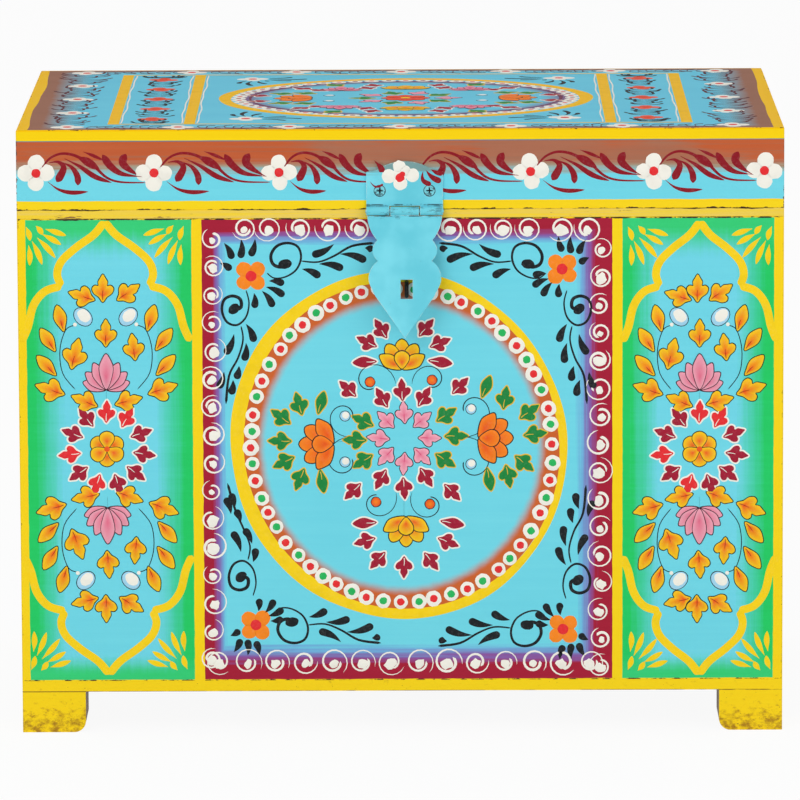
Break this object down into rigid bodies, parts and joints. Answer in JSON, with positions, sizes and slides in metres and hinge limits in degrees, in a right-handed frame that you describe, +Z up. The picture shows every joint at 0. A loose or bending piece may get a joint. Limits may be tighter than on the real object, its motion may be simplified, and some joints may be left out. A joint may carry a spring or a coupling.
{
  "type": "storage box",
  "caption": "Rectangular wooden storage box on block feet, with a shallow hinged lid, a front hasp and staple, and folk-style floral paint.",
  "frame": {"origin": "centre of the underside of the whole bounding box, on the surface that the feet stand on", "axes": "+Z up, -Y towards the front with the hasp, +X towards the right side seen from the front"},
  "size_m": [0.457, 0.333, 0.365],
  "materials": {
    "panel_paint": "satin turquoise paint over wood, worn at the edges",
    "rim_paint": "thin worn yellow paint over wood",
    "base_paint": "worn yellow paint over wood",
    "hasp_paint": "satin turquoise paint over sheet steel",
    "black_steel": "satin black",
    "bare_steel": "dull"
  },
  "bodies": {
    "box": {"front_panel": "panel_paint", "back_panel": "panel_paint", "left_panel": "panel_paint", "right_panel": "panel_paint", "bottom_panel": "base_paint", "rim_front": "rim_paint", "rim_back": "rim_paint", "rim_left": "rim_paint", "rim_right": "rim_paint", "foot_front_left": "base_paint", "foot_front_right": "base_paint", "foot_back_left": "base_paint", "foot_back_right": "base_paint", "hasp_staple": "black_steel", "left_hinge_body_leaf": "black_steel", "right_hinge_body_leaf": "black_steel", "left_hinge_pin": "bare_steel", "right_hinge_pin": "bare_steel", "hinge_body_screws": "bare_steel", "foot_screws": "bare_steel", "carcass_nails": "bare_steel", "bottom_nails": "bare_steel", "rim_nails": "bare_steel"},
    "lid": {"lid_top": "panel_paint", "lid_front": "panel_paint", "lid_back": "panel_paint", "lid_left": "panel_paint", "lid_right": "panel_paint", "left_hinge_lid_leaf": "black_steel", "right_hinge_lid_leaf": "black_steel", "hinge_lid_screws": "bare_steel", "hasp_plate": "hasp_paint", "hasp_screws": "hasp_paint", "hasp_pin": "hasp_paint", "lid_corner_nails": "bare_steel", "lid_top_nails": "bare_steel"},
    "hasp": {"hasp_strap": "hasp_paint"}
  },
  "joints": [
    {"name": "lid_hinge", "type": "hinge", "parent": "box", "child": "lid", "pos_m": [0, 0.16359, 0.317], "axis": [-1, 0, 0], "range_deg": [0, 180]},
    {"name": "hasp_swing", "type": "hinge", "parent": "lid", "child": "hasp", "pos_m": [0.0026, -0.14761, 0.3162], "axis": [-1, 0, 0], "range_deg": [-14, 166]}
  ]
}
